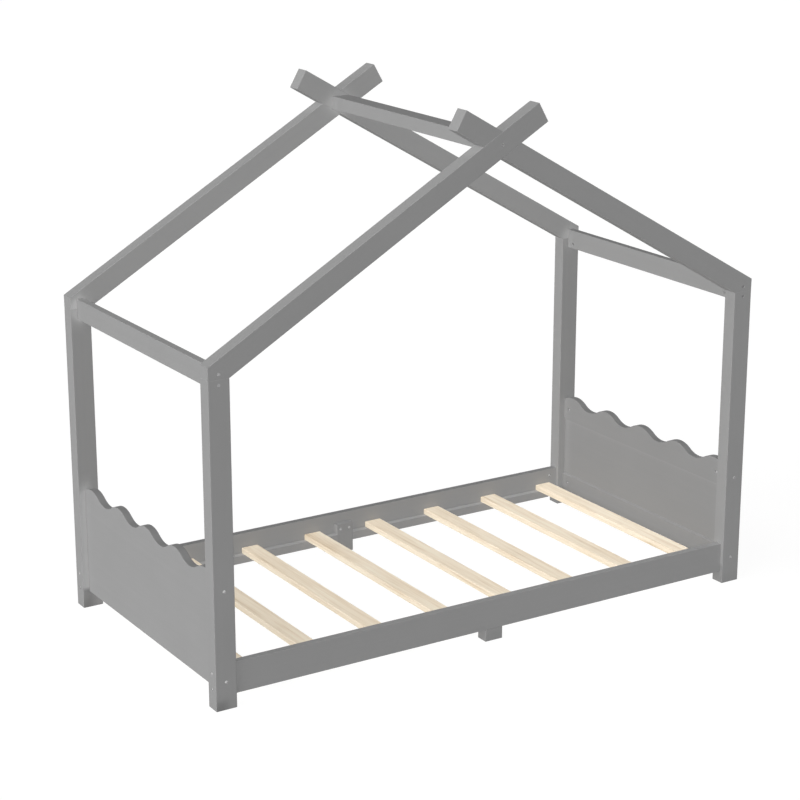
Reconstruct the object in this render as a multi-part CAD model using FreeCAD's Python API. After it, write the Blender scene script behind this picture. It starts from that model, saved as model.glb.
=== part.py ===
import FreeCAD, Part
import math
import os

# House-frame floor bed in painted timber, bolted together.
# Millimetres. +X runs along the bed, +Y to its back, +Z up.
# The origin is on the floor, under the middle of the footprint.

Vector = FreeCAD.Vector

# Corner posts
bed_length = 2000.0              # over the posts, along X
bed_width = 998.0                # over the posts, along Y
post_width = 69.0                # along X
post_depth = 49.0                # along Y, and the thickness of the rafters on the posts
post_height = 1018.0             # floor to the rafters' seats

# Roof frame
roof_pitch = 30.0                # degrees
rafter_depth = 69.0              # square to the slope
rafter_tail = 171.0              # past the crossing, along the slope
ridge_width = 62.0               # along X
ridge_height = 43.0
eave_rail_thickness = 25.0       # along X
eave_rail_height = 66.0          # half on the post, half on the rafter's heel

# Bed base
floor_gap = 40.0                 # under the side rails
side_rail_height = 100.0
side_rail_thickness = 25.0
ledge_height = 29.0
ledge_thickness = 22.0
ledge_setback = 49.0             # from the posts, clear of the barrel nuts
mid_leg_width = 64.0             # along X
mid_leg_depth = 44.0             # along Y, from the outer face of the side rail inwards
mid_leg_height = 105.0
slats_per_half = 4               # between a mid leg and the posts of one end
slat_width = 62.0
slat_thickness = 20.0
slat_setback = 63.0              # last slat's middle line from the posts
slat_play = 1.0                  # at each end of a slat, to the side rail

# End panels
panel_thickness = 25.0
panel_floor_gap = 56.0
panel_bottom_rail_height = 66.0
panel_board_height = 211.0       # between the two rails
panel_board_thickness = 19.0     # flush with the rails on the outside
panel_bevel = 4.0                # on the bottom rail's upper edge, inside
panel_top_rail_height = 75.0     # to the middle level of the wave
wave_rise = 14.5                 # crest above the middle level
half_waves = 9                   # across the panel, crest in the middle
tongue_length = 8.0              # of the board, in the rails' grooves
tongue_thickness = 5.0
groove_clearance = 0.2

# Connector bolts, barrel nuts, screws and dowels
shank_radius = 3.0
head_radius = 5.0
head_height = 6.0
head_recess = 8.0                # from the timber's face to the head's seat
socket_width = 5.0               # across the flats of the hexagon
socket_depth = 3.0
nut_radius = 5.0
nut_length = 16.0
nut_slot_depth = 1.2
nut_setback = 30.0               # from the joint to the nut's axis
bolt_past_nut = 8.0              # from the nut's axis to the bolt's tip
screw_hold = 50.0                # of a long screw, in the eave rail
leg_screw_hold = 15.0            # of a leg's screw, in the side rail
leg_screw_spacing = 35.0
leg_screw_drop = 18.0            # below the mid leg's top
rail_bolt_inset = 25.0           # from the side rail's edges
panel_bolt_drop = 33.5           # below the wave's middle level
eave_fixing_offset = 16.5        # above and below the rafter's seat
dowel_radius = 5.0
dowel_length = 50.0
dowel_spacing = 34.0
bore_clearance = 0.3             # round heads, shanks, nuts and dowels
rod_sides = 8                    # flat sides that stand for a round of this hardware or its bore
edge_chamfer = 1.5               # eased edges of the timber

# Places worked out from the sizes above
post_outer_x = bed_length / 2
post_inner_x = post_outer_x - post_width
post_middle_x = post_outer_x - post_width / 2
post_outer_y = bed_width / 2
post_inner_y = post_outer_y - post_depth
post_middle_y = post_outer_y - post_depth / 2

slope = math.tan(math.radians(roof_pitch))
run = math.cos(math.radians(roof_pitch))
climb = math.sin(math.radians(roof_pitch))
rafter_upright = rafter_depth / run           # rafter's depth measured plumb
ridge_z = post_height + slope * post_inner_x + rafter_upright / 2

side_rail_outer_y = post_middle_y + side_rail_thickness / 2
side_rail_inner_y = post_middle_y - side_rail_thickness / 2
side_rail_top = floor_gap + side_rail_height
ledge_top = floor_gap + ledge_height
mid_leg_inner_y = side_rail_outer_y - mid_leg_depth

panel_outer_x = post_middle_x + panel_thickness / 2
panel_inner_x = post_middle_x - panel_thickness / 2
board_inner_x = panel_outer_x - panel_board_thickness
board_bottom = panel_floor_gap + panel_bottom_rail_height
board_top = board_bottom + panel_board_height
wave_z = board_top + panel_top_rail_height

sides = {"left": -1, "right": 1}
faces = {"front": -1, "back": 1}
timber = {}
hardware = {}


# Box between two limits on each axis, given in either order.
def block(x_limits, y_limits, z_limits):
    limits = [sorted(pair) for pair in (x_limits, y_limits, z_limits)]
    low = Vector(*(pair[0] for pair in limits))
    sizes = [pair[1] - pair[0] for pair in limits]
    return Part.makeBox(*sizes, low)


# Straight prism: an outline in the XZ plane, carried along Y.
def prism(outline, y_limits):
    near, far = sorted(y_limits)
    corners = [Vector(x, near, z) for x, z in outline]
    face = Part.Face(Part.makePolygon(corners + corners[:1]))
    return face.extrude(Vector(0, far - near, 0))


# Prism on a regular outline, from start along one of the main axes.
def regular_prism(start, along, corner_radius, length, sides):
    corner = Vector(along.y, along.z, along.x) * corner_radius
    corners = []
    for number in range(sides):
        turn = FreeCAD.Rotation(along, 360.0 * (number + 0.5) / sides)
        corners.append(start + turn.multVec(corner))
    return Part.Face(Part.makePolygon(corners + corners[:1])).extrude(along * length)


# Rod, or the bore for one, with its flat sides at the radius.
def rod(start, along, radius, length):
    return regular_prism(start, along, radius / math.cos(math.pi / rod_sides), length, rod_sides)


# Straight edges that run along one direction.
def edges_along(shape, direction):
    straight = [edge for edge in shape.Edges if isinstance(edge.Curve, Part.Line)]
    return [edge for edge in straight if edge.Curve.Direction.cross(direction).Length < 1e-6]


# Bar with its long edges eased.
def eased(shape, direction):
    return shape.makeChamfer(edge_chamfer, edges_along(shape, direction))


def make_post(side, face):
    post = block((side * post_inner_x, side * post_outer_x),
                 (face * post_inner_y, face * post_outer_y),
                 (0, post_height))
    return eased(post, Vector(0, 0, 1))


# A rafter rises from the post on its own side, passes the ridge and ends in a square-cut tail.
# Half its thickness is notched where the other rafter crosses it.
def make_rafter(side, face):
    along = Vector(-side * run, 0, climb)
    square = Vector(side * climb, 0, run)
    crossing = Vector(0, 0, ridge_z)
    tail = crossing + along * rafter_tail
    tail_low = tail - square * (rafter_depth / 2)
    tail_high = tail + square * (rafter_depth / 2)
    heel = post_height + rafter_upright - slope * post_width
    outline = [(side * post_outer_x, post_height),
               (side * post_inner_x, post_height),
               (tail_low.x, tail_low.z),
               (tail_high.x, tail_high.z),
               (side * post_outer_x, heel)]
    rafter = eased(prism(outline, (face * post_inner_y, face * post_outer_y)), along)

    other_along = Vector(side * run, 0, climb) * (2 * rafter_depth / (climb * run))
    other_half = Vector(-side * climb, 0, run) * (rafter_depth / 2)
    corners = [crossing - other_along - other_half, crossing + other_along - other_half,
               crossing + other_along + other_half, crossing - other_along + other_half]
    notched_y = post_inner_y if side < 0 else post_outer_y
    lap = prism([(corner.x, corner.z) for corner in corners], (face * notched_y, face * post_middle_y))
    return rafter.cut(lap)


def make_ridge_beam():
    beam = block((-ridge_width / 2, ridge_width / 2),
                 (-post_inner_y, post_inner_y),
                 (ridge_z - ridge_height / 2, ridge_z + ridge_height / 2))
    return eased(beam, Vector(0, 1, 0))


def make_eave_rail(side):
    middle_x = side * post_middle_x
    rail = block((middle_x - eave_rail_thickness / 2, middle_x + eave_rail_thickness / 2),
                 (-post_inner_y, post_inner_y),
                 (post_height - eave_rail_height / 2, post_height + eave_rail_height / 2))
    return eased(rail, Vector(0, 1, 0))


def make_side_rail(face):
    rail = block((-post_inner_x, post_inner_x),
                 (face * side_rail_inner_y, face * side_rail_outer_y),
                 (floor_gap, side_rail_top))
    return eased(rail, Vector(1, 0, 0))


def make_ledge(side, face):
    ledge = block((side * mid_leg_width / 2, side * (post_inner_x - ledge_setback)),
                  (face * (side_rail_inner_y - ledge_thickness), face * side_rail_inner_y),
                  (floor_gap, ledge_top))
    return eased(ledge, Vector(1, 0, 0))


# The foot stands under the side rail, and the tongue above it stands behind the rail.
def make_mid_leg(face):
    leg = block((-mid_leg_width / 2, mid_leg_width / 2),
                (face * mid_leg_inner_y, face * side_rail_outer_y),
                (0, mid_leg_height))
    rebate = block((-mid_leg_width, mid_leg_width),
                   (face * side_rail_inner_y, face * bed_width),
                   (floor_gap, side_rail_top))
    return eased(leg, Vector(0, 0, 1)).cut(rebate)


def make_slat(middle_x):
    slat = block((middle_x - slat_width / 2, middle_x + slat_width / 2),
                 (slat_play - side_rail_inner_y, side_rail_inner_y - slat_play),
                 (ledge_top, ledge_top + slat_thickness))
    return eased(slat, Vector(0, 1, 0))


# Groove in a panel rail for the board's tongue, cut from the rail's edge at height z.
def make_groove(side, z, way):
    depth = tongue_length + groove_clearance
    return block((side * (board_inner_x - groove_clearance),
                  side * (board_inner_x + tongue_thickness + groove_clearance)),
                 (-post_outer_y, post_outer_y),
                 (z, z + way * depth))


def make_panel_bottom_rail(side):
    rail = block((side * panel_inner_x, side * panel_outer_x),
                 (-post_inner_y, post_inner_y),
                 (panel_floor_gap, board_bottom))
    long_edges = edges_along(rail, Vector(0, 1, 0))
    lower_edges = [edge for edge in long_edges if edge.CenterOfMass.z < board_bottom]
    rail = rail.makeChamfer(edge_chamfer, lower_edges)
    bevel = [(side * panel_inner_x, board_bottom - panel_bevel),
             (side * (panel_inner_x + panel_bevel), board_bottom),
             (side * panel_inner_x, board_bottom)]
    rail = rail.cut(prism(bevel, (-post_outer_y, post_outer_y)))
    return rail.cut(make_groove(side, board_bottom, -1))


# Top edge: equal arcs, in turn crest and trough, that run into each other at the middle level.
def make_panel_top_rail(side):
    half_wave = 2 * post_inner_y / half_waves
    x = side * panel_inner_x
    edges = []
    for number in range(half_waves):
        start = Vector(x, number * half_wave - post_inner_y, wave_z)
        end = start + Vector(0, half_wave, 0)
        bend = wave_rise if (number - half_waves // 2) % 2 == 0 else -wave_rise
        middle = (start + end) / 2 + Vector(0, 0, bend)
        edges.append(Part.Arc(start, middle, end).toShape())
    sill = [Vector(x, post_inner_y, wave_z), Vector(x, post_inner_y, board_top),
            Vector(x, -post_inner_y, board_top), Vector(x, -post_inner_y, wave_z)]
    edges.extend(Part.makePolygon(sill).Edges)
    rail = Part.Face(Part.Wire(edges)).extrude(Vector(side * panel_thickness, 0, 0))
    arrises = [edge for edge in rail.Edges if isinstance(edge.Curve, Part.Circle)]
    rail = rail.makeChamfer(edge_chamfer, arrises)
    return rail.cut(make_groove(side, board_top, 1))


# Board with a tongue along its top and bottom, flush with the rails on the outside.
def make_panel_board(side):
    board = block((side * board_inner_x, side * panel_outer_x),
                  (-post_inner_y, post_inner_y),
                  (board_bottom, board_top))
    tongues = block((side * board_inner_x, side * (board_inner_x + tongue_thickness)),
                    (-post_inner_y, post_inner_y),
                    (board_bottom - tongue_length, board_top + tongue_length))
    return board.fuse(tongues).removeSplitter()


# Socket-headed fastener and the stepped hole that it needs.
# point: where its axis meets the timber's face, inward: its direction, reach: from that face to its tip.
def make_bolt(point, inward, reach):
    seat = point + inward * head_recess
    top = seat - inward * head_height
    head = rod(top, inward, head_radius, head_height)
    shank = rod(seat, inward, shank_radius, reach - head_recess)
    socket = regular_prism(top, inward, socket_width / math.sqrt(3), socket_depth, 6)
    recess = rod(point, inward, head_radius + bore_clearance, head_recess)
    bore = rod(point, inward, shank_radius + bore_clearance, reach + bore_clearance)
    return head.fuse(shank).cut(socket), recess.fuse(bore)


# Barrel nut round a bolt's axis, and the blind hole that it is put in through.
# middle: on the bolt's axis, outward: towards the face with the hole, cover: from the axis to that face.
def make_nut(middle, bolt_way, outward, cover):
    bottom = middle - outward * (nut_length / 2)
    top = middle + outward * (nut_length / 2)
    nut = rod(bottom, outward, nut_radius, nut_length)
    thread = rod(middle - bolt_way * nut_length, bolt_way, shank_radius + bore_clearance, 2 * nut_length)
    slot = regular_prism(top - bolt_way * nut_length, bolt_way, nut_slot_depth, 2 * nut_length, 4)
    hole = rod(bottom, outward, nut_radius + bore_clearance, nut_length / 2 + cover)
    return nut.cut(thread).cut(slot), hole


def drill(hosts, tool):
    for host in hosts:
        timber[host] = timber[host].cut(tool)


def add_hardware(group, piece):
    hardware.setdefault(group, []).append(piece)


# Bolt through the carriers into the end of a bar, with its nut in that bar.
# grip: from the carrier's outer face to the joint.
def bolt_together(group, carriers, bar, point, inward, grip, nut_outward, nut_cover):
    bolt, hole = make_bolt(point, inward, grip + nut_setback + bolt_past_nut)
    nut, nut_hole = make_nut(point + inward * (grip + nut_setback), inward, nut_outward, nut_cover)
    drill(carriers + [bar], hole)
    drill([bar], nut_hole)
    add_hardware(group + "_bolts", bolt)
    add_hardware(group + "_barrel_nuts", nut)


def screw_together(group, carrier, bar, point, inward, reach):
    screw, hole = make_bolt(point, inward, reach)
    drill([carrier, bar], hole)
    add_hardware(group + "_screws", screw)


def make_timber():
    for face_name, face in faces.items():
        for side_name, side in sides.items():
            corner = face_name + "_" + side_name
            timber["post_" + corner] = make_post(side, face)
            timber["rafter_" + corner] = make_rafter(side, face)
            timber["ledge_" + corner] = make_ledge(side, face)
        timber["side_rail_" + face_name] = make_side_rail(face)
        timber["mid_leg_" + face_name] = make_mid_leg(face)
    for side_name, side in sides.items():
        timber["eave_rail_" + side_name] = make_eave_rail(side)
        timber[side_name + "_panel_top_rail"] = make_panel_top_rail(side)
        timber[side_name + "_panel_board"] = make_panel_board(side)
        timber[side_name + "_panel_bottom_rail"] = make_panel_bottom_rail(side)
    timber["ridge_beam"] = make_ridge_beam()

    last_slat = post_inner_x - slat_setback
    slat_count = 2 * slats_per_half
    for number in range(slat_count):
        middle_x = last_slat * (2 * number / (slat_count - 1) - 1)
        timber["slat_%d" % (number + 1)] = make_slat(middle_x)


# Two bolts per end of a side rail, along X, with the nuts on the rail's inner face.
def fix_side_rails(side_name, side, face_name, face):
    for z in (floor_gap + rail_bolt_inset, side_rail_top - rail_bolt_inset):
        bolt_together("side_rail", ["post_%s_%s" % (face_name, side_name)], "side_rail_" + face_name,
                      Vector(side * post_outer_x, face * post_middle_y, z), Vector(-side, 0, 0), post_width,
                      Vector(0, -face, 0), side_rail_thickness / 2)


# One bolt per end of each panel rail, along Y, with the nuts on the panel's inner face.
def fix_end_panel(side_name, side, face_name, face):
    heights = {"top": wave_z - panel_bolt_drop,
               "bottom": (panel_floor_gap + board_bottom) / 2}
    post = "post_%s_%s" % (face_name, side_name)
    for rail_name, z in heights.items():
        bolt_together("panel", [post], "%s_panel_%s_rail" % (side_name, rail_name),
                      Vector(side * post_middle_x, face * post_outer_y, z), Vector(0, -face, 0), post_depth,
                      Vector(-side, 0, 0), panel_thickness / 2)


# A bolt through the post's top and a long screw through the rafter's heel hold each end of an eave rail.
# Two dowels keep the rafter on the post.
def fix_eave(side_name, side, face_name, face):
    corner = face_name + "_" + side_name
    post = "post_" + corner
    rafter = "rafter_" + corner
    rail = "eave_rail_" + side_name
    inward = Vector(0, -face, 0)
    up = Vector(0, 0, 1)
    seat = Vector(side * post_middle_x, face * post_outer_y, post_height)
    bolt_together("eave", [post], rail, seat - up * eave_fixing_offset, inward, post_depth,
                  Vector(-side, 0, 0), eave_rail_thickness / 2)
    screw_together("eave", rafter, rail, seat + up * eave_fixing_offset, inward, post_depth + screw_hold)
    for way in (-1, 1):
        middle = Vector(side * post_middle_x + way * dowel_spacing / 2, face * post_middle_y, post_height)
        start = middle - up * (dowel_length / 2)
        hole_start = start - up * bore_clearance
        hole_length = dowel_length + 2 * bore_clearance
        add_hardware("post_top_dowels", rod(start, up, dowel_radius, dowel_length))
        drill([post, rafter], rod(hole_start, up, dowel_radius + bore_clearance, hole_length))


# One bolt through both halves of each rafter crossing, with its nut in the underside of the ridge beam.
def fix_ridge(face_name, face):
    rafters = ["rafter_%s_%s" % (face_name, side_name) for side_name in sides]
    bolt_together("ridge", rafters, "ridge_beam",
                  Vector(0, face * post_outer_y, ridge_z), Vector(0, -face, 0), post_depth,
                  Vector(0, 0, -1), ridge_height / 2)


# Two screws through each mid leg's tongue into the side rail in front of it.
def fix_mid_leg(face_name, face):
    tongue = side_rail_inner_y - mid_leg_inner_y
    for way in (-1, 1):
        point = Vector(way * leg_screw_spacing / 2, face * mid_leg_inner_y, mid_leg_height - leg_screw_drop)
        screw_together("mid_leg", "mid_leg_" + face_name, "side_rail_" + face_name, point,
                       Vector(0, face, 0), tongue + leg_screw_hold)


def make_fixings():
    for face_name, face in faces.items():
        for side_name, side in sides.items():
            fix_side_rails(side_name, side, face_name, face)
            fix_end_panel(side_name, side, face_name, face)
            fix_eave(side_name, side, face_name, face)
        fix_ridge(face_name, face)
        fix_mid_leg(face_name, face)


make_timber()
make_fixings()

os.makedirs("parts", exist_ok=True)
for name, shape in timber.items():
    shape.exportStep("parts/%s.step" % name)
for name, pieces in hardware.items():
    Part.makeCompound(pieces).exportStep("parts/%s.step" % name)
print(len(timber) + len(hardware), "nodes, ridge at", round(ridge_z, 1))
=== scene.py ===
# House-frame floor bed: painted timber, pine slats and fittings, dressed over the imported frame.
import math

import bmesh
import bpy
from mathutils import Matrix, Vector


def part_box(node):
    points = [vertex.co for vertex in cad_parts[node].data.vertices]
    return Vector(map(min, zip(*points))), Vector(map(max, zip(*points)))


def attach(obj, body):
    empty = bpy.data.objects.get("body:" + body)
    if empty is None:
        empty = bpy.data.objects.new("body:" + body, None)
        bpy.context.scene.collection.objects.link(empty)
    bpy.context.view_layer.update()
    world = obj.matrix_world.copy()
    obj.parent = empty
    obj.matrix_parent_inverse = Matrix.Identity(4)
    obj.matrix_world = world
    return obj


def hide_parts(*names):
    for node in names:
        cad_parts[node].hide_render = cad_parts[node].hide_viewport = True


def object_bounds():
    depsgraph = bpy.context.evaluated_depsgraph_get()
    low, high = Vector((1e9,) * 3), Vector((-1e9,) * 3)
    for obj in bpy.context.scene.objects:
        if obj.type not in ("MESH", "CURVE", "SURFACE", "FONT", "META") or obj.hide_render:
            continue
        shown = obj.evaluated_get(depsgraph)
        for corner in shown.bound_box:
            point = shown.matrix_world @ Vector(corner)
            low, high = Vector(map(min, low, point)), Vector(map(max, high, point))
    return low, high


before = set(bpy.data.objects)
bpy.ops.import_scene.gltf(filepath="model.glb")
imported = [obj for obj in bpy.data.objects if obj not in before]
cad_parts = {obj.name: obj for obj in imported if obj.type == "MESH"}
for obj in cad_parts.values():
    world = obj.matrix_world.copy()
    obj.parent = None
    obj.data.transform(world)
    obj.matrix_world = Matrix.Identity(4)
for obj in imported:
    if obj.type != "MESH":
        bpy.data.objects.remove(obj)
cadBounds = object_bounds()
bpy.context.scene.view_settings.view_transform = "Standard"
print("frame loaded with", len(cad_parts), "nodes")


# Camera at the photograph's viewing angle
camera = {
    "eye": Vector((-3.6462, -5.7423, 2.7450)),
    "aim": Vector((-0.0174, 0.0501, 0.6641)),
    "lens": 97.440,
    "sensor": 36.0,
    "reach": 80.0,
}

bpy.ops.object.select_all(action="DESELECT")
bpy.ops.object.camera_add(location=camera["eye"])
viewer = bpy.context.active_object
viewer.name = "photoCamera"
viewer.rotation_euler = (camera["aim"] - camera["eye"]).to_track_quat("-Z", "Y").to_euler()
viewer.data.sensor_width = camera["sensor"]
viewer.data.lens = camera["lens"]
viewer.data.clip_end = camera["reach"]
bpy.context.scene.camera = viewer
print("camera placed")


# Studio: a wide soft key from the left that throws shadows, lamps from the left, the front,
# the far side and below that throw none, a pale floor and surround
studio = {
    "lampsAway": 6,
    "keyFrom": Vector((-0.91, -0.06, 0.40)),
    "keyLevel": 0.30,  # with shadows
    "sideLevel": 0.39,  # from the same side, without
    "keySpread": 70,
    "frontFrom": Vector((-0.61, -0.61, 0.50)),
    "frontLevel": 0.85,
    "fillFrom": Vector((0.75, 0.65, 0.08)),
    "fillLevel": 0.72,
    "belowFrom": Vector((0, 0, -1)),
    "belowLevel": 0.28,
    "ambient": 0.06,
    "floorSize": 60.0,
    "floorTone": 0.22,
    "floorGlow": 0.83,  # as it is seen
    "floorBounce": 0.30,  # as it lights the bed
}


def addLamp(name, comesFrom, level, angle=0, shadows=False):
    bpy.ops.object.select_all(action="DESELECT")
    bpy.ops.object.light_add(type="SUN", location=comesFrom * studio["lampsAway"])
    lamp = bpy.context.active_object
    lamp.name = name
    lamp.rotation_euler = comesFrom.to_track_quat("Z", "Y").to_euler()
    lamp.data.energy = level * math.pi  # a face square to the lamp then shows its own colour
    lamp.data.angle = math.radians(angle)
    lamp.data.use_shadow = shadows


def paleRays(nodes, links):  # 1 where the surround is seen directly, in metal or through glass
    path = nodes.new("ShaderNodeLightPath")
    seen = path.outputs["Is Camera Ray"]
    for other in ("Is Glossy Ray", "Is Transmission Ray"):
        either = nodes.new("ShaderNodeMath")
        either.operation = "MAXIMUM"
        links.new(seen, either.inputs[0])
        links.new(path.outputs[other], either.inputs[1])
        seen = either.outputs[0]
    return seen


def makeSurround():
    world = bpy.data.worlds.new("paleSurround")
    world.use_nodes = True
    nodes, links = world.node_tree.nodes, world.node_tree.links
    nodes.clear()
    light = nodes.new("ShaderNodeBackground")
    light.inputs["Color"].default_value = (1, 1, 1, 1)
    light.inputs["Strength"].default_value = studio["ambient"]
    pale = nodes.new("ShaderNodeBackground")
    pale.inputs["Color"].default_value = (1, 1, 1, 1)
    pale.inputs["Strength"].default_value = 1.0
    choose = nodes.new("ShaderNodeMixShader")
    links.new(paleRays(nodes, links), choose.inputs["Fac"])
    links.new(light.outputs[0], choose.inputs[1])
    links.new(pale.outputs[0], choose.inputs[2])
    out = nodes.new("ShaderNodeOutputWorld")
    links.new(choose.outputs[0], out.inputs["Surface"])
    bpy.context.scene.world = world


def makeFloor():
    bpy.ops.object.select_all(action="DESELECT")
    bpy.ops.mesh.primitive_plane_add(size=studio["floorSize"])
    floor = bpy.context.active_object
    floor.name = "studioFloor"
    material = bpy.data.materials.new("paleFloor")
    material.use_nodes = True
    nodes, links = material.node_tree.nodes, material.node_tree.links
    nodes.clear()
    matt = nodes.new("ShaderNodeBsdfDiffuse")
    matt.inputs["Color"].default_value = (studio["floorTone"],) * 3 + (1,)
    glow = nodes.new("ShaderNodeEmission")
    glow.inputs["Color"].default_value = (1, 1, 1, 1)
    level = nodes.new("ShaderNodeMapRange")
    level.inputs["To Min"].default_value = studio["floorBounce"]
    level.inputs["To Max"].default_value = studio["floorGlow"]
    links.new(paleRays(nodes, links), level.inputs["Value"])
    links.new(level.outputs[0], glow.inputs["Strength"])
    both = nodes.new("ShaderNodeAddShader")
    links.new(matt.outputs[0], both.inputs[0])
    links.new(glow.outputs[0], both.inputs[1])
    out = nodes.new("ShaderNodeOutputMaterial")
    links.new(both.outputs[0], out.inputs["Surface"])
    floor.data.materials.append(material)


addLamp("keyLamp", studio["keyFrom"], studio["keyLevel"], studio["keySpread"], shadows=True)
addLamp("sideLamp", studio["keyFrom"], studio["sideLevel"], studio["keySpread"])
addLamp("frontLamp", studio["frontFrom"], studio["frontLevel"])
addLamp("fillLamp", studio["fillFrom"], studio["fillLevel"])
addLamp("belowLamp", studio["belowFrom"], studio["belowLevel"])
makeSurround()
makeFloor()
print("studio lit")


# Grain shared by every timber finish; Vector comes in with the grain lying along X, in metres
figure = {
    "streakDetail": 4.0,
    "streakRoughness": 0.6,
    "fibreDetail": 2.0,
    "fibreTimes": 7.0,  # finer than the streaks
    "mottleScale": 5.0,
    "mottleDetail": 2.0,
    "usualRange": (0.25, 0.75),  # where nearly all values of a noise lie
}


def makeGrainGroup():
    group = bpy.data.node_groups.new("timberGrain", "ShaderNodeTree")
    face = group.interface
    face.new_socket("Vector", in_out="INPUT", socket_type="NodeSocketVector")
    for name in ("Stretch", "Fineness", "Drift"):
        face.new_socket(name, in_out="INPUT", socket_type="NodeSocketFloat")
    for name in ("Streak", "Fibre", "Mottle"):
        face.new_socket(name, in_out="OUTPUT", socket_type="NodeSocketFloat")
    nodes, links = group.nodes, group.links
    come = nodes.new("NodeGroupInput")
    leave = nodes.new("NodeGroupOutput")

    def stretched(times):  # long and thin along the grain
        along = nodes.new("ShaderNodeMath")
        along.operation = "MULTIPLY"
        links.new(come.outputs["Stretch"], along.inputs[0])
        along.inputs[1].default_value = times
        across = nodes.new("ShaderNodeMath")
        across.operation = "MULTIPLY"
        links.new(come.outputs["Fineness"], across.inputs[0])
        across.inputs[1].default_value = times
        scale = nodes.new("ShaderNodeCombineXYZ")
        links.new(along.outputs[0], scale.inputs["X"])
        links.new(across.outputs[0], scale.inputs["Y"])
        links.new(across.outputs[0], scale.inputs["Z"])
        place = nodes.new("ShaderNodeVectorMath")
        place.operation = "MULTIPLY"
        links.new(come.outputs["Vector"], place.inputs[0])
        links.new(scale.outputs[0], place.inputs[1])
        return place.outputs["Vector"]

    streak = nodes.new("ShaderNodeTexNoise")
    streak.inputs["Scale"].default_value = 1.0
    streak.inputs["Detail"].default_value = figure["streakDetail"]
    streak.inputs["Roughness"].default_value = figure["streakRoughness"]
    links.new(stretched(1.0), streak.inputs["Vector"])
    links.new(come.outputs["Drift"], streak.inputs["Distortion"])
    links.new(streak.outputs["Fac"], leave.inputs["Streak"])

    fibre = nodes.new("ShaderNodeTexNoise")
    fibre.inputs["Scale"].default_value = 1.0
    fibre.inputs["Detail"].default_value = figure["fibreDetail"]
    links.new(stretched(figure["fibreTimes"]), fibre.inputs["Vector"])
    links.new(fibre.outputs["Fac"], leave.inputs["Fibre"])

    mottle = nodes.new("ShaderNodeTexNoise")
    mottle.inputs["Scale"].default_value = figure["mottleScale"]
    mottle.inputs["Detail"].default_value = figure["mottleDetail"]
    links.new(come.outputs["Vector"], mottle.inputs["Vector"])
    links.new(mottle.outputs["Fac"], leave.inputs["Mottle"])
    return group


timberGrain = makeGrainGroup()

# Turns that bring each piece's length onto X, where the grain group wants it
grainTurns = {
    "alongX": (0.0, 0.0, 0.0),
    "alongY": (0.0, 0.0, -90.0),
    "alongZ": (0.0, 90.0, 0.0),
    "leftSlope": (0.0, 30.0, 0.0),
    "rightSlope": (0.0, -30.0, 0.0),
}


def startTimber(name, turn, grainValues):
    material = bpy.data.materials.new(name)
    material.use_nodes = True
    nodes, links = material.node_tree.nodes, material.node_tree.links
    place = nodes.new("ShaderNodeTexCoord")
    lie = nodes.new("ShaderNodeMapping")
    lie.inputs["Rotation"].default_value = [math.radians(part) for part in grainTurns[turn]]
    links.new(place.outputs["Object"], lie.inputs["Vector"])
    grain = nodes.new("ShaderNodeGroup")
    grain.node_tree = timberGrain
    links.new(lie.outputs["Vector"], grain.inputs["Vector"])
    for socket, value in grainValues.items():
        grain.inputs[socket].default_value = value
    return material, nodes, links, grain


def colourSteps(nodes, steps):
    ramp = nodes.new("ShaderNodeValToRGB")
    band = ramp.color_ramp
    for number, (position, colour) in enumerate(steps):  # a new ramp has two stops
        stop = band.elements[number] if number < 2 else band.elements.new(position)
        stop.position = position
        stop.color = tuple(colour) + (1.0,)
    return ramp


def spread(nodes, links, value, low, high):  # carries a noise's values into a narrower range
    reach = nodes.new("ShaderNodeMapRange")
    reach.inputs["From Min"].default_value = figure["usualRange"][0]
    reach.inputs["From Max"].default_value = figure["usualRange"][1]
    reach.inputs["To Min"].default_value = low
    reach.inputs["To Max"].default_value = high
    links.new(value, reach.inputs["Value"])
    return reach.outputs["Result"]


def blendValues(nodes, links, first, second, share):
    mix = nodes.new("ShaderNodeMix")
    mix.data_type = "FLOAT"
    mix.inputs["Factor"].default_value = share
    links.new(first, mix.inputs["A"])
    links.new(second, mix.inputs["B"])
    return mix.outputs["Result"]


# Grey paint: smooth and matt, with the roller's stipple and a ghost of the grain under it; painted light in
# inner corners, painted shade at the feet, and painted light or shade on tops and on front and back faces
paint = {
    "dark": (0.249, 0.249, 0.249),
    "light": (0.261, 0.261, 0.261),
    "grain": {"Stretch": 1.2, "Fineness": 70.0, "Drift": 0.4},
    "streakShare": 0.45,
    "cloudRange": (0.3, 0.7),
    # painted light in inner corners, on end and side faces: outside the left panel's plane, then elsewhere
    "paintedCornerLight": ((0.05, 0.50), (0.14, 0.10)),
    "rafterLift": ((0.05, 0.50), (0.14, 0.28)),
    "railLift": ((0.04, 0.06), (0.04, 0.06)),
    "planeReach": (0.001, 0.030),
    "cornerReach": 0.055,
    "cornerSamples": 8,
    "cornerRange": (0.92, 0.72),  # open sky at which a corner starts to count, and counts in full
    "footRange": (0.058, 0.072),  # heights between which the feet's painted shade turns into the corners' painted light
    "paintedFootShade": -0.60,
    "topStart": 0.76,  # squared upward part of the normal, past the rafters' slope, where the painted light or shade of flat tops starts
    "waveTopShade": 0.81,  # painted shade on the upper faces of the waves
    "roughness": (0.60, 0.72),
    "specular": 0.005,
    "stippleScale": 900.0,
    "stippleDetail": 1.0,
    "fibreShare": 0.5,
    "bumpDepth": 0.0004,
    "bumpStrength": 0.12,
}


# Painted light and shade by piece, standing in for how light falls on it: all over, on flat tops, on the
# faces to the front and back
paintedShadeByPiece = {
    "plain": (1.0, 1.0, 1.0),
    "right_panel": (0.885, 1.0, 1.0),
    "eave_rail_left": (1.0, 1.10, 1.0),
    "eave_rail_right": (1.0, 0.70, 1.0),
    "ridge_beam": (1.0, 0.82, 1.0),
    "side_rail_front": (1.0, 1.14, 1.0),
    "side_rail_back": (1.0, 0.84, 1.08),
    "ledge": (1.0, 1.42, 1.05),
    "rafter_back": (1.0, 1.0, 1.16),
}


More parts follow.
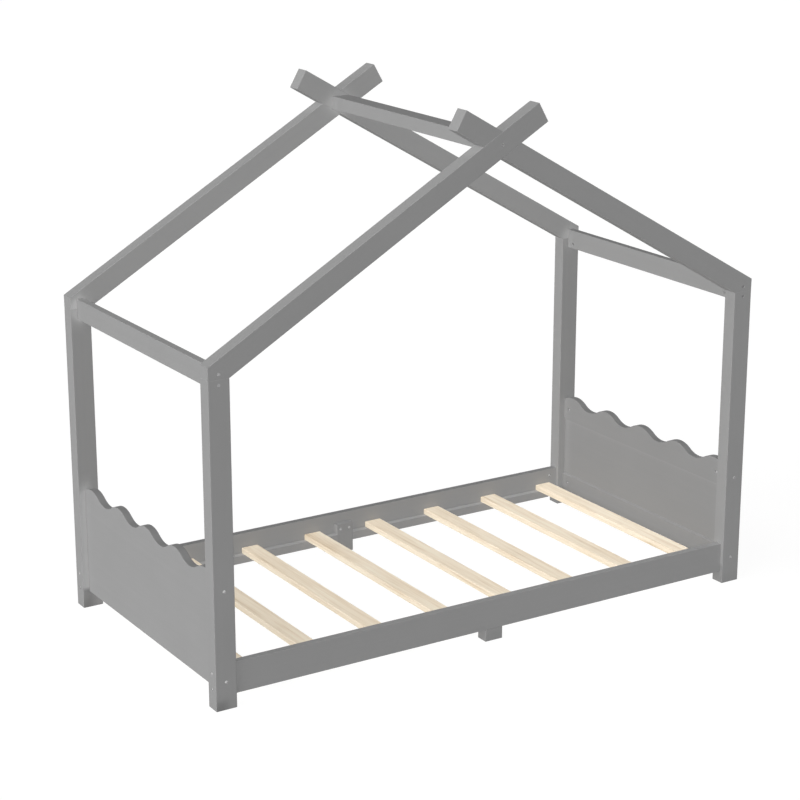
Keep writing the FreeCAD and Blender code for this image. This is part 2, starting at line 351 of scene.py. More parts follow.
def facing(nodes, links, axis, onEdge, onFace, start=0.0):
    # one value on the faces that look along an axis, another on those beside it
    looks = nodes.new("ShaderNodeNewGeometry")
    split = nodes.new("ShaderNodeSeparateXYZ")
    links.new(looks.outputs["True Normal"], split.inputs[0])
    square = nodes.new("ShaderNodeMath")
    square.operation = "MULTIPLY"
    links.new(split.outputs[axis], square.inputs[0])
    links.new(split.outputs[axis], square.inputs[1])
    reach = nodes.new("ShaderNodeMapRange")
    reach.inputs["From Min"].default_value = start
    reach.inputs["To Min"].default_value = onEdge
    reach.inputs["To Max"].default_value = onFace
    links.new(square.outputs[0], reach.inputs["Value"])
    return reach.outputs["Result"]


def scaled(nodes, links, colour, *factors):
    for factor in factors:
        lifted = nodes.new("ShaderNodeVectorMath")
        lifted.operation = "SCALE"
        links.new(colour, lifted.inputs["Vector"])
        links.new(factor, lifted.inputs["Scale"])
        colour = lifted.outputs["Vector"]
    return colour


def product(nodes, links, first, second, plus=0.0):
    both = nodes.new("ShaderNodeMath")
    both.operation = "MULTIPLY_ADD"
    links.new(first, both.inputs[0])
    links.new(second, both.inputs[1])
    both.inputs[2].default_value = plus
    return both.outputs[0]


def alongBed(nodes, links, place, start, end):  # from 0 to 1 between two places on the bed's length
    split = nodes.new("ShaderNodeSeparateXYZ")
    links.new(place, split.inputs[0])
    along = nodes.new("ShaderNodeMapRange")
    along.inputs["From Min"].default_value = start
    along.inputs["From Max"].default_value = end
    links.new(split.outputs["X"], along.inputs["Value"])
    return along


def paintedCornerLight(nodes, links, lifts):  # painted light above 1 in the inner corners, painted shade below 1 at the feet under a timber
    near = nodes.new("ShaderNodeAmbientOcclusion")
    near.samples = paint["cornerSamples"]
    near.inputs["Distance"].default_value = paint["cornerReach"]
    closed = nodes.new("ShaderNodeMapRange")
    closed.inputs["From Min"].default_value = paint["cornerRange"][0]
    closed.inputs["From Max"].default_value = paint["cornerRange"][1]
    links.new(near.outputs["AO"], closed.inputs["Value"])
    place = nodes.new("ShaderNodeTexCoord")
    split = nodes.new("ShaderNodeSeparateXYZ")
    links.new(place.outputs["Object"], split.inputs[0])
    aboveFloor = nodes.new("ShaderNodeMapRange")
    aboveFloor.inputs["From Min"].default_value = paint["footRange"][0]
    aboveFloor.inputs["From Max"].default_value = paint["footRange"][1]
    aboveFloor.inputs["To Min"].default_value = paint["paintedFootShade"]
    links.new(split.outputs["Z"], aboveFloor.inputs["Value"])
    where = product(nodes, links, closed.outputs["Result"], aboveFloor.outputs["Result"])
    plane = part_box("left_panel_board")[0].x
    start, end = (plane + reach for reach in paint["planeReach"])
    inwards = alongBed(nodes, links, place.outputs["Object"], start, end)
    lift = nodes.new("ShaderNodeMix")
    lift.data_type = "FLOAT"
    links.new(inwards.outputs["Result"], lift.inputs["Factor"])
    for socket, (onEnd, onSide) in zip("AB", lifts):
        links.new(facing(nodes, links, "Y", onEnd, onSide), lift.inputs[socket])
    return product(nodes, links, where, lift.outputs["Result"], 1.0)


def makePaint(name, turn, lifts, tone, paintedTopTone, paintedSideTone):
    material, nodes, links, grain = startTimber(name, turn, paint["grain"])
    shader = nodes["Principled BSDF"]
    shader.inputs["Specular IOR Level"].default_value = paint["specular"]
    cloud = blendValues(nodes, links, grain.outputs["Mottle"], grain.outputs["Streak"], paint["streakShare"])
    tones = [[part * tone for part in paint[end]] for end in ("dark", "light")]
    ramp = colourSteps(nodes, zip(paint["cloudRange"], tones))
    links.new(cloud, ramp.inputs["Fac"])
    # painted light in the inner corners and painted shade at the feet, then painted light or shade on flat
    # tops and on front and back faces
    tint = scaled(nodes, links, ramp.outputs["Color"], paintedCornerLight(nodes, links, lifts),
                  facing(nodes, links, "Z", 1.0, paintedTopTone, paint["topStart"]),
                  facing(nodes, links, "Y", 1.0, paintedSideTone))
    links.new(tint, shader.inputs["Base Color"])
    links.new(spread(nodes, links, grain.outputs["Fibre"], *paint["roughness"]), shader.inputs["Roughness"])
    stipple = nodes.new("ShaderNodeTexNoise")
    stipple.inputs["Scale"].default_value = paint["stippleScale"]
    stipple.inputs["Detail"].default_value = paint["stippleDetail"]
    links.new(nodes["Mapping"].outputs["Vector"], stipple.inputs["Vector"])
    height = blendValues(nodes, links, stipple.outputs["Fac"], grain.outputs["Fibre"], paint["fibreShare"])
    bump = nodes.new("ShaderNodeBump")
    bump.inputs["Strength"].default_value = paint["bumpStrength"]
    bump.inputs["Distance"].default_value = paint["bumpDepth"]
    links.new(height, bump.inputs["Height"])
    links.new(bump.outputs["Normal"], shader.inputs["Normal"])
    return material


# Bare pine of the slats: cream with thin brown streaks along the length
pine = {
    "steps": [(0.33, (0.74, 0.60, 0.43)), (0.43, (0.88, 0.75, 0.575)),
              (0.54, (0.95, 0.83, 0.66)), (0.68, (0.99, 0.90, 0.73))],
    "grain": {"Stretch": 3.6, "Fineness": 85.0, "Drift": 0.5},
    "mottleShare": 0.25,
    "sidePaintedShade": 0.84,  # painted shade: the sides and ends darker than the flat faces
    "roughness": (0.40, 0.52),
    "specular": 0.03,
    "bumpDepth": 0.0006,
    "bumpStrength": 0.20,
}


def makePine(turn):
    material, nodes, links, grain = startTimber("barePine_" + turn, turn, pine["grain"])
    shader = nodes["Principled BSDF"]
    shader.inputs["Specular IOR Level"].default_value = pine["specular"]
    tone = blendValues(nodes, links, grain.outputs["Streak"], grain.outputs["Mottle"], pine["mottleShare"])
    ramp = colourSteps(nodes, pine["steps"])
    links.new(tone, ramp.inputs["Fac"])
    # painted shade on the slats' sides and ends
    tint = scaled(nodes, links, ramp.outputs["Color"], facing(nodes, links, "Z", pine["sidePaintedShade"], 1.0))
    links.new(tint, shader.inputs["Base Color"])
    links.new(spread(nodes, links, grain.outputs["Fibre"], *pine["roughness"]), shader.inputs["Roughness"])
    bump = nodes.new("ShaderNodeBump")
    bump.inputs["Strength"].default_value = pine["bumpStrength"]
    bump.inputs["Distance"].default_value = pine["bumpDepth"]
    links.new(grain.outputs["Fibre"], bump.inputs["Height"])
    links.new(bump.outputs["Normal"], shader.inputs["Normal"])
    return material


# Beech of the hidden dowels
beech = {
    "steps": [(0.35, (0.52, 0.33, 0.19)), (0.65, (0.66, 0.46, 0.28))],
    "grain": {"Stretch": 12.0, "Fineness": 240.0, "Drift": 0.2},
    "roughness": (0.50, 0.60),
}


def makeBeech(turn):
    material, nodes, links, grain = startTimber("beechDowel_" + turn, turn, beech["grain"])
    shader = nodes["Principled BSDF"]
    ramp = colourSteps(nodes, beech["steps"])
    links.new(grain.outputs["Streak"], ramp.inputs["Fac"])
    links.new(ramp.outputs["Color"], shader.inputs["Base Color"])
    links.new(spread(nodes, links, grain.outputs["Fibre"], *beech["roughness"]), shader.inputs["Roughness"])
    return material


# Zinc plate of the bolts, nuts and screws: pale, softly blotched metal, with painted light and shade: nuts
# paler, roof fittings darker, bolts and roof fittings darker towards the right end
zinc = {
    # two tones, and the share of them that is left at the right end, as painted shade
    "nut": (((0.62, 0.62, 0.63), (0.76, 0.76, 0.75)), 1.0),
    "bolt": (((0.48, 0.48, 0.49), (0.62, 0.62, 0.61)), 0.70),
    "roofBolt": (((0.34, 0.34, 0.345), (0.42, 0.42, 0.42)), 0.58),  # darker as painted shade of their deep holes
    "blotchScale": 700.0,
    "blotchDetail": 3.0,
    "blotchRange": (0.35, 0.65),
    "metallic": 0.7,
    "roughness": (0.42, 0.58),
}


def makeZinc(name, tones, rightShare):
    material = bpy.data.materials.new(name)
    material.use_nodes = True
    nodes, links = material.node_tree.nodes, material.node_tree.links
    shader = nodes["Principled BSDF"]
    shader.inputs["Metallic"].default_value = zinc["metallic"]
    place = nodes.new("ShaderNodeTexCoord")
    blotch = nodes.new("ShaderNodeTexNoise")
    blotch.inputs["Scale"].default_value = zinc["blotchScale"]
    blotch.inputs["Detail"].default_value = zinc["blotchDetail"]
    links.new(place.outputs["Object"], blotch.inputs["Vector"])
    ramp = colourSteps(nodes, zip(zinc["blotchRange"], tones))
    links.new(blotch.outputs["Fac"], ramp.inputs["Fac"])
    # painted shade, darker towards the right end of the bed
    rightwardShade = alongBed(nodes, links, place.outputs["Object"], cadBounds[0][0], cadBounds[1][0])
    rightwardShade.inputs["To Min"].default_value = 1.0
    rightwardShade.inputs["To Max"].default_value = rightShare
    tint = scaled(nodes, links, ramp.outputs["Color"], rightwardShade.outputs["Result"])
    links.new(tint, shader.inputs["Base Color"])
    links.new(spread(nodes, links, blotch.outputs["Fac"], *zinc["roughness"]), shader.inputs["Roughness"])
    return material


greyPaint = {}
turnLifts = {"alongX": "railLift", "leftSlope": "rafterLift", "rightSlope": "rafterLift"}


def coatFor(nodeName, turn):  # mixes a coat the first time that a piece needs it
    start = next((start for start in paintedShadeByPiece if nodeName.startswith(start)), "plain")
    if (start, turn) not in greyPaint:
        lifts = paint[turnLifts.get(turn, "paintedCornerLight")]
        greyPaint[start, turn] = makePaint("greyPaint_" + start + "_" + turn, turn, lifts, *paintedShadeByPiece[start])
    return greyPaint[start, turn]


# painted shade for the upper faces of the waves
waveTopPaintedShade = makePaint("waveTopPaintedShade", "alongY", paint["railLift"], paint["waveTopShade"], 1.0, 1.0)
barePine = makePine("alongY")
beechDowel = makeBeech("alongZ")
zincPlate = {kind: makeZinc("zincPlate_" + kind, *zinc[kind]) for kind in ("nut", "bolt", "roofBolt")}
print("finishes mixed")


# Bench tools: the few operations that every piece is made with
arris = {"radius": 0.0014, "seamRadius": 0.0008, "segments": 3, "smoothAngle": 35}
within = {"exact": 0.00001, "sawn": 0.0001, "eased": 0.001}  # how near counts as the same place
aligned = {"fully": 0.999, "mostly": 0.9, "half": 0.5}  # cosines of how far two directions agree


def pick(piece):
    bpy.ops.object.select_all(action="DESELECT")
    piece.select_set(True)
    bpy.context.view_layer.objects.active = piece


def camelName(nodeName, ending=""):
    words = nodeName.split("_")
    return words[0] + "".join(word.capitalize() for word in words[1:]) + ending


def addBar(name, low, high):  # a sawn bar between two corners
    bpy.ops.object.select_all(action="DESELECT")
    bpy.ops.mesh.primitive_cube_add(size=1.0, location=(Vector(low) + Vector(high)) / 2)
    bar = bpy.context.active_object
    bar.name = name
    bar.scale = Vector(high) - Vector(low)
    bpy.ops.object.transform_apply(location=True, rotation=True, scale=True)
    return bar


def selectEdges(piece, wanted):
    pick(piece)
    bpy.ops.object.mode_set(mode="EDIT")
    bpy.ops.mesh.select_mode(type="EDGE")
    bpy.ops.mesh.select_all(action="DESELECT")
    shape = bmesh.from_edit_mesh(piece.data)
    for edge in shape.edges:
        if wanted(edge):
            edge.select_set(True)
    bmesh.update_edit_mesh(piece.data)


def selectFaces(piece, wanted):
    pick(piece)
    bpy.ops.object.mode_set(mode="EDIT")
    bpy.ops.mesh.select_mode(type="FACE")
    bpy.ops.mesh.select_all(action="DESELECT")
    shape = bmesh.from_edit_mesh(piece.data)
    shape.faces.ensure_lookup_table()
    for face in shape.faces:
        if wanted(face):
            face.select_set(True)
    bmesh.update_edit_mesh(piece.data)


def leaveEdit():
    bpy.ops.object.mode_set(mode="OBJECT")


def easeEdges(piece, wanted, radius=arris["radius"], steps=arris["segments"]):
    # rounds the arrises that wanted picks out
    selectEdges(piece, wanted)
    bpy.ops.mesh.bevel(offset=radius, segments=steps, affect="EDGES")
    leaveEdit()


def runsAlong(direction):
    direction = Vector(direction).normalized()

    def wanted(edge):
        run = edge.verts[1].co - edge.verts[0].co
        return abs(run.normalized().dot(direction)) > aligned["fully"]
    return wanted


def liesAbove(height):
    return lambda edge: min(vert.co.z for vert in edge.verts) > height


def liesBelow(height):
    return lambda edge: max(vert.co.z for vert in edge.verts) < height


def cutAway(piece, cutter):
    pick(piece)
    cut = piece.modifiers.new("cut", "BOOLEAN")
    cut.operation = "DIFFERENCE"
    cut.solver = "EXACT"
    cut.object = cutter
    bpy.ops.object.modifier_apply(modifier=cut.name)


def sliceOff(piece, point, normal):  # saws away what lies on the side that normal points to
    pick(piece)
    bpy.ops.object.mode_set(mode="EDIT")
    bpy.ops.mesh.select_all(action="SELECT")
    bpy.ops.mesh.bisect(plane_co=point, plane_no=normal, use_fill=True, clear_outer=True)
    leaveEdit()


def throwAway(piece):
    mesh = piece.data
    bpy.data.objects.remove(piece)
    bpy.data.meshes.remove(mesh)


def fitPiece(piece, finish, slotName, *nodeNames):
    pick(piece)
    bpy.ops.object.shade_smooth_by_angle(angle=math.radians(arris["smoothAngle"]))
    evenOut = piece.modifiers.new("evenOut", "WEIGHTED_NORMAL")
    evenOut.keep_sharp = True
    bpy.ops.object.modifier_apply(modifier=evenOut.name)
    piece.data.materials.clear()
    piece.data.materials.append(finish)
    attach(piece, "root")
    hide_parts(*nodeNames)


# Fittings: where the frame puts each bolt, screw, nut and dowel, and the hole that it needs
fitting = {
    "headRadius": 0.0050,
    "headHeight": 0.0060,
    "headEase": 0.0007,
    "socketAcross": 0.0050,
    "socketDepth": 0.0032,
    "socketRing": 0.55,  # of the socket's width, before it is drawn out
    "shankRadius": 0.0030,
    "tipLength": 0.0020,
    "tipShare": 0.6,
    "nutRadius": 0.0050,
    "nutEase": 0.0005,
    "slotWidth": 0.0013,
    "slotDepth": 0.0016,
    "clearance": 0.0003,
    "dowelRadius": 0.0050,
    "breakOut": 0.0300,  # how far a hole's cutter runs out past the timber's face
    "sides": 36,
}
boltPlating = {"side_rail_bolts": "bolt", "panel_bolts": "bolt", "eave_bolts": "roofBolt",
               "eave_screws": "roofBolt", "ridge_bolts": "roofBolt", "mid_leg_screws": "bolt"}
nutPlating = {"side_rail_barrel_nuts": "nut", "panel_barrel_nuts": "nut",
              "eave_barrel_nuts": "roofBolt", "ridge_barrel_nuts": "roofBolt"}
dowelNode = "post_top_dowels"


def looseParts(nodeName):  # lowest and highest corner of each separate solid in a node
    shape = bmesh.new()
    shape.from_mesh(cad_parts[nodeName].data)
    bmesh.ops.remove_doubles(shape, verts=shape.verts, dist=within["exact"])
    waiting, boxes = set(shape.verts), []
    while waiting:
        reach, part = [waiting.pop()], []
        while reach:
            point = reach.pop()
            part.append(point.co.copy())
            for edge in point.link_edges:
                neighbour = edge.other_vert(point)
                if neighbour in waiting:
                    waiting.discard(neighbour)
                    reach.append(neighbour)
        low = Vector([min(co[axis] for co in part) for axis in range(3)])
        high = Vector([max(co[axis] for co in part) for axis in range(3)])
        boxes.append((low, high))
    shape.free()
    return sorted(boxes, key=lambda box: [round(value, 4) for value in box[0]])


def longAxis(box):
    size = box[1] - box[0]
    return max(range(3), key=lambda axis: size[axis])


def unit(axis, sign):
    direction = Vector((0, 0, 0))
    direction[axis] = sign
    return direction


# Each place: the outer end's centre, the direction that end faces, and the length behind it
def fittingPlace(box, faceSign):
    axis = longAxis(box)
    middle = (box[0] + box[1]) / 2
    length = box[1][axis] - box[0][axis]
    direction = unit(axis, faceSign(middle[axis]))
    return {"end": middle + direction * (length / 2), "faces": direction, "length": length}


def outward(value):
    return 1 if value > 0 else -1


def inward(value):
    return -1 if value > 0 else 1


def boltFaces(nodeName):  # a head shows on the bed's outer side, and on a mid leg's inner side
    return inward if nodeName.startswith("mid_leg") else outward


def nutFaces(box):  # a nut shows on the bed's inner side, or under the ridge beam
    if longAxis(box) == 2:
        return lambda value: -1
    return inward


boltPlaces = {name: [fittingPlace(box, boltFaces(name)) for box in looseParts(name)] for name in boltPlating}
nutPlaces = {name: [fittingPlace(box, nutFaces(box)) for box in looseParts(name)] for name in nutPlating}
dowelPlaces = [fittingPlace(box, outward) for box in looseParts(dowelNode)]


def modelStem(name, headRadius, headTop, headFoot, stemRadius, stemFoot):
    # a headed rod on Z: the head from headTop down to headFoot, the stem on down to stemFoot
    bpy.ops.object.select_all(action="DESELECT")
    bpy.ops.mesh.primitive_cylinder_add(vertices=fitting["sides"], radius=headRadius,
                                        depth=headTop - headFoot, location=(0, 0, (headTop + headFoot) / 2))
    rod = bpy.context.active_object
    rod.name = name
    bpy.ops.object.transform_apply(location=True, rotation=True, scale=True)
    selectFaces(rod, lambda face: face.normal.z < -aligned["mostly"])
    bpy.ops.mesh.inset(thickness=headRadius - stemRadius)
    bpy.ops.mesh.extrude_region_move(TRANSFORM_OT_translate={"value": (0, 0, stemFoot - headFoot)})
    leaveEdit()
    return rod


def modelBolt(name, length):
    shankFoot = fitting["tipLength"] - length
    bolt = modelStem(name, fitting["headRadius"], 0.0, -fitting["headHeight"],
                     fitting["shankRadius"], shankFoot)
    selectFaces(bolt, lambda face: face.calc_center_median().z < shankFoot + within["exact"])
    bpy.ops.mesh.extrude_region_move(TRANSFORM_OT_translate={"value": (0, 0, -fitting["tipLength"])})
    narrower = fitting["tipShare"]
    bpy.ops.transform.resize(value=(narrower, narrower, 1.0), center_override=(0, 0, -length))
    leaveEdit()
    easeEdges(bolt, liesAbove(-within["exact"]), fitting["headEase"])

    # the hexagon socket: a smaller ring drawn out to six flats, then sunk
    selectFaces(bolt, lambda face: face.normal.z > aligned["fully"]
                and face.calc_center_median().z > -within["exact"])
    ring = fitting["headRadius"] - fitting["headEase"] - fitting["socketRing"] * fitting["socketAcross"]
    bpy.ops.mesh.inset(thickness=ring)
    shape = bmesh.from_edit_mesh(bolt.data)
    for vert in shape.verts:
        if vert.select:
            turn = math.atan2(vert.co.y, vert.co.x)
            fromFlat = (turn + math.pi / 6) % (math.pi / 3) - math.pi / 6
            reach = fitting["socketAcross"] / 2 / math.cos(fromFlat)
            vert.co.x, vert.co.y = reach * math.cos(turn), reach * math.sin(turn)
    bmesh.update_edit_mesh(bolt.data)
    bpy.ops.mesh.extrude_region_move(TRANSFORM_OT_translate={"value": (0, 0, -fitting["socketDepth"])})
    leaveEdit()
    return bolt


def modelNut(name, length):
    bpy.ops.object.select_all(action="DESELECT")
    bpy.ops.mesh.primitive_cylinder_add(vertices=fitting["sides"], radius=fitting["nutRadius"],
                                        depth=length, location=(0, 0, -length / 2))
    nut = bpy.context.active_object
    nut.name = name
    bpy.ops.object.transform_apply(location=True, rotation=True, scale=True)
    easeEdges(nut, lambda edge: abs(edge.verts[0].co.z - edge.verts[1].co.z) < within["exact"],
              fitting["nutEase"])
    wide = fitting["nutRadius"] * 2
    slot = addBar("nutSlot", (-wide, -fitting["slotWidth"] / 2, -fitting["slotDepth"]),
                  (wide, fitting["slotWidth"] / 2, wide))
    cutAway(nut, slot)
    throwAway(slot)
    bpy.ops.object.select_all(action="DESELECT")
    bpy.ops.mesh.primitive_cylinder_add(vertices=fitting["sides"], radius=fitting["shankRadius"],
                                        depth=2 * wide, location=(0, 0, -length / 2),
                                        rotation=(0, math.pi / 2, 0))
    thread = bpy.context.active_object
    bpy.ops.object.transform_apply(location=True, rotation=True, scale=True)
    cutAway(nut, thread)
    throwAway(thread)
    return nut


def setAt(model, name, place, along=None):
    # copies a fitting that was modelled on Z, its outer end at the origin, to a place in the bed
    if along is None:
        along = unit(0, 1) if place["faces"].z else unit(2, 1)
    third = place["faces"].cross(along)
    turn = Matrix((along, third, place["faces"])).transposed().to_4x4()
    copy = model.copy()
    copy.data = model.data.copy()
    copy.name = name
    bpy.context.collection.objects.link(copy)
    copy.matrix_world = Matrix.Translation(place["end"]) @ turn
    pick(copy)
    bpy.ops.object.transform_apply(location=True, rotation=True, scale=True)
    return copy


def joinUp(name, pieces):
    bpy.ops.object.select_all(action="DESELECT")
    for piece in pieces:
        piece.select_set(True)
    bpy.context.view_layer.objects.active = pieces[0]
    if len(pieces) > 1:
        bpy.ops.object.join()
    pieces[0].name = name
    return pieces[0]


def makeBolts(nodeName):
    model = modelBolt("boltModel", boltPlaces[nodeName][0]["length"])
    copies = [setAt(model, "bolt", place) for place in boltPlaces[nodeName]]
    throwAway(model)
    plating = zincPlate[boltPlating[nodeName]]
    fitPiece(joinUp(camelName(nodeName, "Zinc"), copies), plating, "zinc_steel", nodeName)


def makeNuts(nodeName):
    model = modelNut("nutModel", nutPlaces[nodeName][0]["length"])
    bolt = unit(0, 1) if nodeName.startswith("side_rail") else unit(1, 1)  # the way its bolt runs
    copies = [setAt(model, "nut", place, bolt) for place in nutPlaces[nodeName]]
    throwAway(model)
    plating = zincPlate[nutPlating[nodeName]]
    fitPiece(joinUp(camelName(nodeName, "Zinc"), copies), plating, "zinc_steel", nodeName)


def boxOf(piece):
    corners = [Vector(corner) for corner in piece.bound_box]
    return (Vector([min(co[axis] for co in corners) for axis in range(3)]),
            Vector([max(co[axis] for co in corners) for axis in range(3)]))


def makeHoleCutters():
    cutters = []
    gap = fitting["clearance"]
    for places in boltPlaces.values():
        length = places[0]["length"]
        model = modelStem("boltHole", fitting["headRadius"] + gap, fitting["breakOut"],
                          -fitting["headHeight"], fitting["shankRadius"] + gap, -length - gap)
        cutters.extend(setAt(model, "boltHole", place) for place in places)
        throwAway(model)
    plainHoles = [(place, fitting["nutRadius"], fitting["breakOut"])
                  for places in nutPlaces.values() for place in places]
    plainHoles.extend((place, fitting["dowelRadius"], gap) for place in dowelPlaces)
    for place, radius, over in plainHoles:
        depth = place["length"] + over + gap
        bpy.ops.object.select_all(action="DESELECT")
        bpy.ops.mesh.primitive_cylinder_add(vertices=fitting["sides"], radius=radius + gap, depth=depth,
                                            location=(0, 0, over - depth / 2))
        model = bpy.context.active_object
        bpy.ops.object.transform_apply(location=True, rotation=True, scale=True)
        cutters.append(setAt(model, "plainHole", place))
        throwAway(model)
    return cutters


def overlaps(first, second):
    return all(first[0][axis] < second[1][axis] and second[0][axis] < first[1][axis] for axis in range(3))


holeCutters = makeHoleCutters()
print("holes laid out:", len(holeCutters))


def drillHoles(piece):
    for cutter in holeCutters:
        if overlaps(boxOf(piece), boxOf(cutter)):
            cutAway(piece, cutter)


# Straight painted timber: a bar from the frame, arrises eased along its length, then drilled
straightTimber = {
    "alongX": ("side_rail_front", "side_rail_back", "ledge_front_left", "ledge_front_right",
               "ledge_back_left", "ledge_back_right"),
    "alongY": ("ridge_beam", "eave_rail_left", "eave_rail_right",
               "left_panel_bottom_rail", "right_panel_bottom_rail"),
    "alongZ": ("post_front_left", "post_front_right", "post_back_left", "post_back_right",
               "mid_leg_front", "mid_leg_back"),
}
lengthways = {"alongX": unit(0, 1), "alongY": unit(1, 1), "alongZ": unit(2, 1)}
bottomRail = {"bevel": 0.0050, "bevelSteps": 1}
midLeg = {"rebateRunOut": 0.03}
tongue = {"thickness": 0.0050, "clearance": 0.0002}


def grooveFor(nodeName):  # the slot that the board's tongue sits in
    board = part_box(nodeName.replace("bottom_rail", "board").replace("top_rail", "board"))
    gap = tongue["clearance"]
    nearLow = abs(board[0].x) < abs(board[1].x)
    inner = board[0].x if nearLow else board[1].x
    step = tongue["thickness"] if nearLow else -tongue["thickness"]
    sides = sorted((inner, inner + step))
    low = Vector((sides[0] - gap, board[0].y - gap, board[0].z - gap))
    high = Vector((sides[1] + gap, board[1].y + gap, board[1].z + gap))
    return addBar("tongueGroove", low, high)


def makeStraightTimber(nodeName, turn):
    low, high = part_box(nodeName)
    piece = addBar(camelName(nodeName, "Timber"), low, high)
    lengthwise = runsAlong(lengthways[turn])
    if "panel" in nodeName:  # bevelled above on the inside; square outside, where the board is flush
        upper = high.z - within["eased"]
        insideX = min(low.x, high.x, key=abs)
        easeEdges(piece, lambda edge: lengthwise(edge) and edge.verts[0].co.z < upper)
        easeEdges(piece, lambda edge: lengthwise(edge) and edge.verts[0].co.z > upper
                  and abs(edge.verts[0].co.x - insideX) < within["eased"],
                  bottomRail["bevel"], bottomRail["bevelSteps"])
    else:
        easeEdges(piece, lengthwise)
    if nodeName.startswith("post"):
        easeEdges(piece, liesBelow(low.z + within["sawn"]))
        easeEdges(piece, liesAbove(high.z - within["sawn"]), arris["seamRadius"])
    if nodeName.startswith("mid_leg"):
        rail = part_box(nodeName.replace("mid_leg", "side_rail"))
        runOut = midLeg["rebateRunOut"]
        past = Vector((0, runOut if rail[0].y > 0 else 0, runOut))
        before = Vector((0, runOut if rail[0].y < 0 else 0, 0))
        rebate = addBar("legRebate", rail[0] - before, rail[1] + past)
        cutAway(piece, rebate)
        throwAway(rebate)
    if "panel" in nodeName:
        groove = grooveFor(nodeName)
        cutAway(piece, groove)
        throwAway(groove)
    drillHoles(piece)
    fitPiece(piece, coatFor(nodeName, turn), "grey_painted_wood", nodeName)


for turn, names in straightTimber.items():
    for nodeName in names:
        makeStraightTimber(nodeName, turn)
print("posts, rails, ledges and legs made")


# Rafters: a bar laid at the pitch, sawn plumb and level over its post, half lapped at the ridge
rafter = {"pitch": 30.0, "depth": 0.069, "tail": 0.171, "spareLength": 0.20,
          "shortEdge": 0.01, "lapRunOut": 0.1}


def slopedBar(name, side, crossing, tail, foot, lowY, highY):
    # a bar whose middle line goes through the crossing; side is -1 for the left rafters
    bar = addBar(name, (-foot, lowY, -rafter["depth"] / 2), (tail, highY, rafter["depth"] / 2))
    easeEdges(bar, lambda edge: True)
    if side > 0:
        turn = Matrix.Rotation(math.radians(rafter["pitch"] - 180), 4, "Y")
    else:
        turn = Matrix.Rotation(math.radians(-rafter["pitch"]), 4, "Y")
    bar.matrix_world = Matrix.Translation(crossing) @ turn
    pick(bar)
    bpy.ops.object.transform_apply(location=True, rotation=True, scale=True)
    return bar


def makeRafter(nodeName):
    side = -1 if nodeName.endswith("left") else 1
    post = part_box(nodeName.replace("rafter", "post"))
    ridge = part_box("ridge_beam")
    crossing = Vector((0, 0, (ridge[0].z + ridge[1].z) / 2))
    outerX = max(abs(post[0].x), abs(post[1].x))
    lowY, highY = post[0].y, post[1].y
    foot = outerX / math.cos(math.radians(rafter["pitch"])) + rafter["spareLength"]
    piece = slopedBar(camelName(nodeName, "Timber"), side, crossing, rafter["tail"], foot, lowY, highY)
    sliceOff(piece, (side * outerX, 0, 0), (side, 0, 0))
    sliceOff(piece, (0, 0, post[1].z), (0, 0, -1))
    upright = runsAlong((0, 0, 1))
    easeEdges(piece, lambda edge: all(abs(abs(vert.co.x) - outerX) < within["sawn"] for vert in edge.verts)
              and upright(edge) and edge.calc_length() > rafter["shortEdge"])
    easeEdges(piece, liesBelow(post[1].z + within["sawn"]), arris["seamRadius"])

    middleY = (lowY + highY) / 2
    notchHigh = (lowY > 0) == (side > 0)  # the left rafter is notched inside, the right one outside
    notchFace = highY if notchHigh else lowY
    notched = sorted((middleY, notchFace + rafter["lapRunOut"] * (notchFace - middleY)))
    lapReach = 2 * rafter["depth"]
    lap = slopedBar("halfLap", -side, crossing, lapReach, lapReach, *notched)
    cutAway(piece, lap)
    throwAway(lap)
    drillHoles(piece)
    turn = "leftSlope" if side < 0 else "rightSlope"
    fitPiece(piece, coatFor(nodeName, turn), "grey_painted_wood", nodeName)


for nodeName in ("rafter_front_left", "rafter_front_right", "rafter_back_left", "rafter_back_right"):
    makeRafter(nodeName)
print("rafters sawn and lapped")


# Wavy top rails: a bar divided along its length, its top drawn into tangent arcs
wave = {"halfWaves": 9, "rise": 0.0145, "sillToMiddle": 0.075, "cutsPerHalf": 14, "facetArea": 0.001}


def waveHeight(y, lowY, highY):
    half = (highY - lowY) / wave["halfWaves"]
    number = min(int((y - lowY) / half), wave["halfWaves"] - 1)
    fromMiddle = y - lowY - (number + 0.5) * half
    radius = (half * half / 4 + wave["rise"] ** 2) / (2 * wave["rise"])
    up = 1 if (number - wave["halfWaves"] // 2) % 2 == 0 else -1
    return up * (math.sqrt(radius ** 2 - fromMiddle ** 2) - radius + wave["rise"])


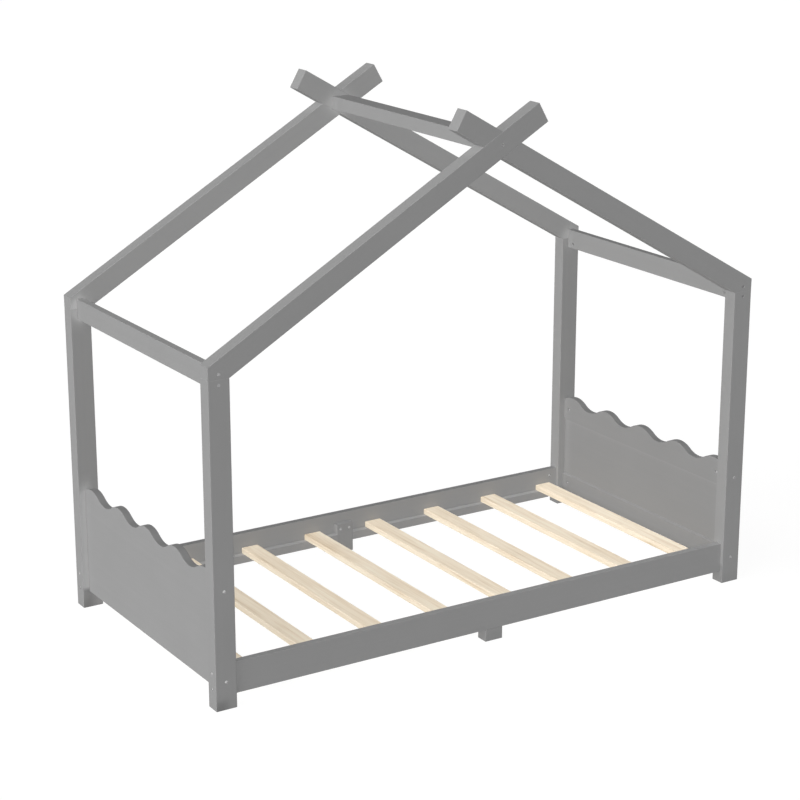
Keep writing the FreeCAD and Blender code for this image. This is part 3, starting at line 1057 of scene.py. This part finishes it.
def makeTopRail(nodeName):
    low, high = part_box(nodeName)
    middle = low.z + wave["sillToMiddle"]
    piece = addBar(camelName(nodeName, "Timber"), low, (high.x, high.y, middle))
    selectEdges(piece, runsAlong((0, 1, 0)))
    bpy.ops.mesh.subdivide(number_cuts=wave["halfWaves"] * wave["cutsPerHalf"] - 1)
    shape = bmesh.from_edit_mesh(piece.data)
    for vert in shape.verts:
        if vert.co.z > middle - within["sawn"]:
            vert.co.z = middle + waveHeight(vert.co.y, low.y, high.y)
    bmesh.update_edit_mesh(piece.data)
    leaveEdit()
    easeEdges(piece, lambda edge: abs(edge.verts[0].co.x - edge.verts[1].co.x) < within["sawn"]
              and abs(edge.verts[0].co.y - edge.verts[1].co.y) > within["sawn"]
              and edge.verts[0].co.z > low.z + within["eased"])
    groove = grooveFor(nodeName)
    cutAway(piece, groove)
    throwAway(groove)
    drillHoles(piece)
    fitPiece(piece, coatFor(nodeName, "alongY"), "grey_painted_wood", nodeName)
    # a second slot holds the painted shade for the upper faces of the waves
    piece.data.materials.append(waveTopPaintedShade)
    for facet in piece.data.polygons:
        onWave = facet.center.z > middle - 2 * wave["rise"] and facet.area < wave["facetArea"]
        if onWave and abs(facet.normal.x) < aligned["half"] < abs(facet.normal.z):
            facet.material_index = 1


for nodeName in ("left_panel_top_rail", "right_panel_top_rail"):
    makeTopRail(nodeName)
print("wavy rails shaped")


# Slats: pine boards with every arris rounded
slat = {"count": 8, "arris": 0.0020}


def makeSlat(nodeName):
    piece = addBar(camelName(nodeName, "Board"), *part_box(nodeName))
    easeEdges(piece, lambda edge: True, slat["arris"])
    fitPiece(piece, barePine, "bare_pine", nodeName)


for number in range(slat["count"]):
    makeSlat("slat_%d" % (number + 1))
print("slats laid")

for nodeName in boltPlaces:
    makeBolts(nodeName)
for nodeName in nutPlating:
    makeNuts(nodeName)
for cutter in holeCutters:
    throwAway(cutter)
print("fittings driven home")


# Boards and dowels keep the frame's own shape under a better finish
def refinish(nodeName, finish):
    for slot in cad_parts[nodeName].material_slots:
        slot.material = finish


for nodeName in ("left_panel_board", "right_panel_board"):
    refinish(nodeName, coatFor(nodeName, "alongY"))
refinish(dowelNode, beechDowel)

print("bed dressed")
